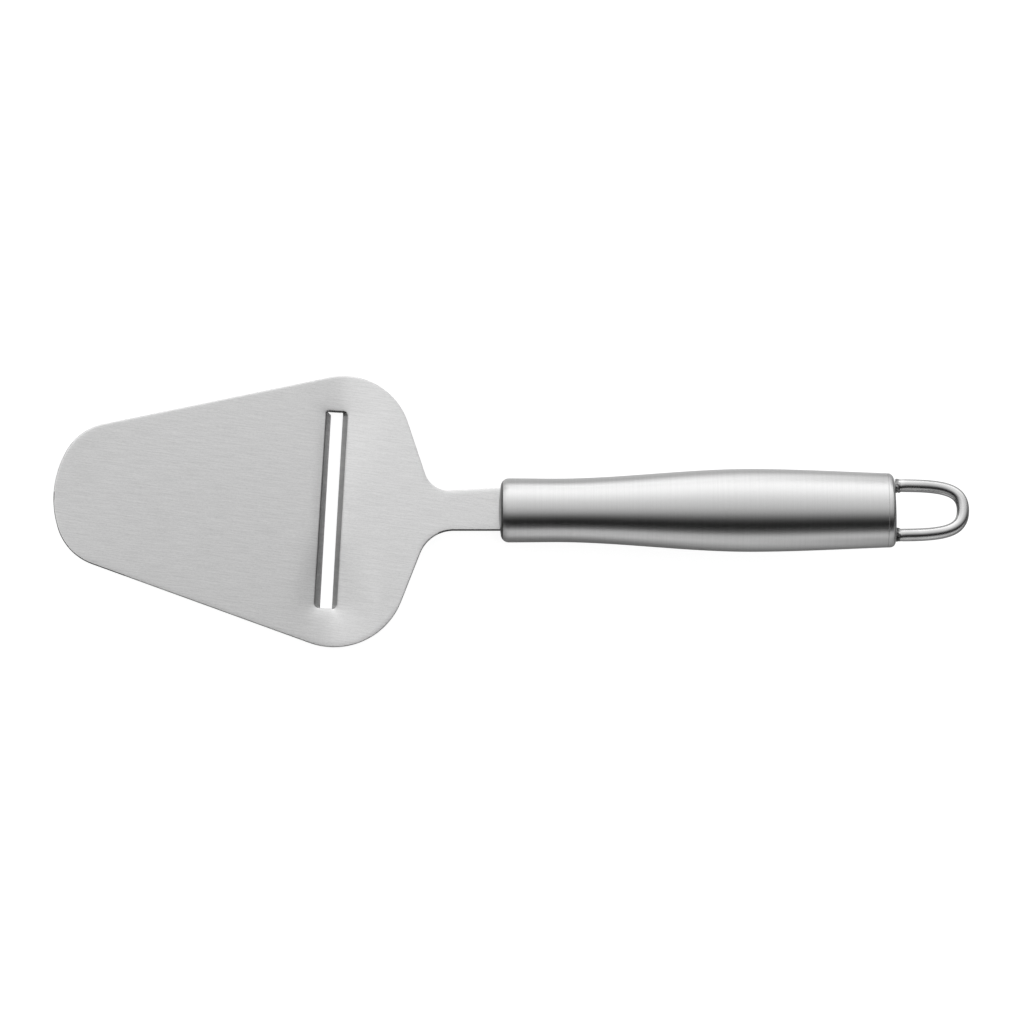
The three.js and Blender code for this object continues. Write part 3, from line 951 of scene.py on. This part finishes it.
# Hanging loop: a wire swept along its bend, and the weld beads at its feet.
def make_loop():
    """The wire, slightly oval past the welds, whose bend leans to one side."""
    leg_end = HANDLE_LENGTH + BEAD_LENGTH
    loop_end = HANDLE_LENGTH + LOOP_REACH
    shoulder = (HANDLE_LENGTH + LOOP_LEG, LOOP_SIDE)
    bend = bezier((leg_end, LOOP_SIDE), shoulder, (loop_end, LOOP_SHOULDER), (loop_end, 0.0), 48)
    leg = [(x, LOOP_SIDE) for x in np.linspace(HANDLE_LENGTH + LOOP_GAP, leg_end, 4)[:-1]]
    half = np.array([*leg, *bend])
    path = np.concatenate([half, half[-2::-1] * [1, -1]])
    tangent = np.gradient(path, axis=0)
    tangent /= np.linalg.norm(tangent, axis=1)[:, None]
    side = np.c_[-tangent[:, 1], tangent[:, 0]]
    length = np.r_[0, np.cumsum(np.linalg.norm(np.diff(path, axis=0), axis=1))]
    angles = np.linspace(0, 2 * math.pi, WIRE_SIDES, endpoint=False)
    points, uvs = [], []
    for p, s, d in zip(path, side, length):
        oval = WIRE_OVAL * s[1] * smooth((min(d, length[-1] - d) - OVAL_FROM) / OVAL_FADE)
        lean = -LOOP_LEAN * p[1] * smooth((p[0] - HANDLE_LENGTH - LEAN_FROM) / LEAN_FADE)
        for a in angles:
            radius = WIRE_RADIUS * (1 + oval * math.sin(2 * a))
            offset = s * (radius * math.cos(a))
            points.append((p[0] + offset[0], p[1] + offset[1], lean + radius * math.sin(a)))
            uvs.append((d - length[-1] / 2, a * WIRE_RADIUS))
    rows = [np.arange(WIRE_SIDES) + k * WIRE_SIDES for k in range(len(path))]
    faces = []
    for first, second in zip(rows[:-1], rows[1:]):
        faces += strip(first, second)
    faces += [tuple(rows[0]), tuple(rows[-1])]
    return piece("hanging_loop_look", points, faces, uvs, wire_steel)


def make_bead(name, side, material):
    """A rough collar of weld round one foot of the loop, wider towards the middle of the handle."""
    start = HANDLE_LENGTH + BEAD_GAP
    least = WIRE_RADIUS + BEAD_GAP
    bore = WIRE_RADIUS + BEAD_BORE
    angles = np.linspace(0, 2 * math.pi, BEAD_SIDES, endpoint=False)
    flare = BEAD_FLARE + BEAD_FLARE_INSIDE * np.maximum(0, -side * np.cos(angles)) ** 2
    points, uvs, rows = [], [], []

    def add_row(share, x, radius):
        rows.append(np.arange(BEAD_SIDES) + len(points))
        x = np.broadcast_to(x, angles.shape)
        points.extend(zip(x, side * LOOP_SIDE + radius * np.cos(angles), radius * np.sin(angles)))
        uvs.extend((share * 2, a * 2) for a in angles)

    # Lumps of three sizes run round the collar and fade at its two ends.
    for share in np.linspace(0, 1, BEAD_ROWS):
        lump = (
            0.11 * np.sin(3 * angles + 0.7 * side + 4 * share)
            + 0.1 * np.sin(7 * angles - 1.9 * side) * math.sin(9 * share + 0.6)
            + 0.07 * np.sin(11 * angles + 2.3 * side - 7 * share)
        )
        fade = min(1, 4 * share + 0.3, 4 * (1 - share))
        radius = least + flare * (1 - share) ** 1.4 + (BEAD_ROUGHNESS * lump + BEAD_GAP) * fade
        add_row(share, start + share * (BEAD_LENGTH + lump), np.maximum(radius, least))
    for share in (1, 0):
        add_row(share, start + share * (BEAD_LENGTH - BEAD_BORE_SHORT), bore)
    faces = []
    for first, second in zip(rows, rows[1:] + rows[:1]):
        faces += strip(first, second)
    return piece(name, points, faces, uvs, material, BEAD_SHARP)


stand_in(make_loop(), "hanging_loop")
stand_in(make_bead("loop_weld_right_look", 1, weld_metal), "loop_weld_right")
stand_in(make_bead("loop_weld_left_look", -1, darker_weld_metal), "loop_weld_left")

# The tang's two beads, inside the handle, keep their CAD form.
for hidden in ("tang_weld_top", "tang_weld_bottom"):
    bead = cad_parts[hidden]
    bead.data.materials.clear()
    bead.data.materials.append(weld_metal)

# Floor: white to the eye, plain and pale to the light. To metal alone it also glows, a painted reflection
# that is brightest to the right of the handle and dim close to it, a painted shadow: stops of (place in
# metres, strength) to the right of the tool and along it.
FLOOR_HALF = 20
FLOOR_GLOW = 0.9
FLOOR_PALE = 0.28
FLOOR_SEEN = 0.22
FLOOR_SHEEN = 0.2
FLOOR_IOR = 1.5
FLOOR_PAINTED_ASIDE = [
    (-0.12, 0.7), (-0.061, 0.67), (-0.044, 0.5), (-0.033, 0.37), (-0.023, 0.15), (-0.012, 0.09),
    (0.004, 0.1), (0.012, 0.52), (0.018, 0.56), (0.026, 0.52), (0.033, 0.6), (0.044, 1.12),
    (0.058, 1.38), (0.12, 1.38),
]
FLOOR_PAINTED_ALONG = [(-0.03, 0), (-0.012, 1), (0.102, 1), (0.112, 0.5), (0.16, 0)]


def floor_material():
    """A softly shiny floor that glows evenly to the eye and, as a painted reflection, in a pattern to metal,
    clear from below.
    """
    material = bpy.data.materials.new("floor")
    material.use_nodes = True
    tree = material.node_tree
    tree.nodes.clear()
    path = node(tree, "ShaderNodeLightPath")
    seen = math_node(tree, "MAXIMUM", path.outputs["Is Camera Ray"], path.outputs["Is Transmission Ray"])
    place = node(tree, "ShaderNodeNewGeometry")
    sides = node(tree, "ShaderNodeSeparateXYZ")
    tree.links.new(place.outputs["Position"], sides.inputs[0])
    # Painted reflection: how strongly metal sees the floor glow, with a painted shadow close to the handle.
    painted_glow = ramp(tree, sides.outputs["Y"], FLOOR_PAINTED_ASIDE)
    painted_glow = math_node(tree, "MULTIPLY", painted_glow, ramp(tree, sides.outputs["X"], FLOOR_PAINTED_ALONG))
    glow_for_metal = math_node(tree, "MULTIPLY", path.outputs["Is Glossy Ray"], painted_glow)
    glow = math_node(tree, "ADD", math_node(tree, "MULTIPLY", seen, FLOOR_GLOW), glow_for_metal)
    emission = node(tree, "ShaderNodeEmission")
    tree.links.new(glow, emission.inputs["Strength"])
    diffuse = node(tree, "ShaderNodeBsdfDiffuse")
    tree.links.new(mix_colours(tree, seen, FLOOR_PALE, FLOOR_SEEN), diffuse.inputs["Color"])
    sheen = node(tree, "ShaderNodeBsdfGlossy", Roughness=FLOOR_SHEEN)
    fresnel = node(tree, "ShaderNodeFresnel", IOR=FLOOR_IOR)
    coated = mix_shaders(tree, fresnel.outputs[0], diffuse.outputs[0], sheen.outputs[0])
    both = node(tree, "ShaderNodeAddShader")
    tree.links.new(emission.outputs[0], both.inputs[0])
    tree.links.new(coated, both.inputs[1])
    clear = node(tree, "ShaderNodeBsdfTransparent")
    surface = mix_shaders(tree, place.outputs["Backfacing"], both.outputs[0], clear.outputs[0])
    tree.links.new(surface, node(tree, "ShaderNodeOutputMaterial").inputs["Surface"])
    return material


def make_floor():
    mesh = bpy.data.meshes.new("floor")
    corners = [(x * FLOOR_HALF, y * FLOOR_HALF, 0) for x, y in ((-1, -1), (1, -1), (1, 1), (-1, 1))]
    mesh.from_pydata(corners, [], [(0, 1, 2, 3)])
    mesh.materials.append(floor_material())
    floor = bpy.data.objects.new("floor", mesh)
    bpy.context.scene.collection.objects.link(floor)


make_floor()

# Studio light as a soft world: bright from the right side of the tool, dark at the upper left.
# Stops of (degrees, strength), round the handle's axis from straight up and along the axis.
ROUND = [
    (-180, 0.2), (-95, 0.88), (-86, 0.73), (-79, 0.54), (-73, 0.31), (-67, 0.06), (-60, 0.006),
    (-45, 0.001), (-37, 0.024), (-27, 0.095), (-18, 0.25), (-8, 0.46), (4, 0.63), (14, 0.755),
    (24, 0.82), (35, 0.905), (45, 1.02), (55, 1.14), (65, 1.28), (75, 1.36), (88, 1.53),
    (100, 1.65), (180, 0.3),
]
LENGTHWISE = [
    (-90, 0.03), (-80, 0.05), (-74, 0.1), (-69, 0.25), (-64, 0.46), (-57, 0.72), (-40, 0.82),
    (-22, 0.87), (-9, 0.96), (-4, 1.12), (0, 1.19), (2.5, 0.98), (4, 0.85), (6, 0.79), (8, 0.865),
    (10, 0.92), (16, 0.85), (21, 0.81), (32, 0.77), (42, 0.69), (52, 0.57), (63, 0.37), (76, 0.16),
    (90, 0.04),
]
LEVEL = 1.86


def make_world():
    world = bpy.data.worlds.new("studio")
    world.use_nodes = True
    bpy.context.scene.world = world
    tree = world.node_tree
    direction = node(tree, "ShaderNodeTexCoord").outputs["Generated"]
    parts = []
    for axis in (along, aside, up):
        dot = node(tree, "ShaderNodeVectorMath", operation="DOT_PRODUCT")
        tree.links.new(direction, dot.inputs[0])
        dot.inputs[1].default_value = axis
        parts.append(dot.outputs["Value"])
    around = math_node(tree, "DEGREES", math_node(tree, "ARCTAN2", parts[1], parts[2]))
    lengthwise = math_node(tree, "DEGREES", math_node(tree, "ARCSINE", parts[0]))
    light = mix_colours(tree, 1, ramp(tree, around, ROUND), ramp(tree, lengthwise, LENGTHWISE), "MULTIPLY")
    background = tree.nodes["Background"]
    background.inputs["Strength"].default_value = LEVEL
    tree.links.new(light, background.inputs["Color"])


make_world()

# Camera square above the handle's axis, as in the photograph.
DISTANCE = 1600
PICTURE_WIDTH = 273.95
PICTURE_CENTRE = (3.478, -0.43)
SENSOR = 36
CLIP_END = 100
camera = bpy.data.cameras.new("camera")
camera.sensor_width = SENSOR
camera.lens = SENSOR * DISTANCE / PICTURE_WIDTH
camera.clip_end = CLIP_END
view = bpy.data.objects.new("camera", camera)
stand = to_row @ Vector((*PICTURE_CENTRE, DISTANCE))
view.matrix_world = Matrix([[along[i], aside[i], up[i], stand[i]] for i in range(3)] + [[0, 0, 0, 1]])
bpy.context.scene.collection.objects.link(view)
bpy.context.scene.camera = view
bpy.context.scene.view_settings.view_transform = "Standard"
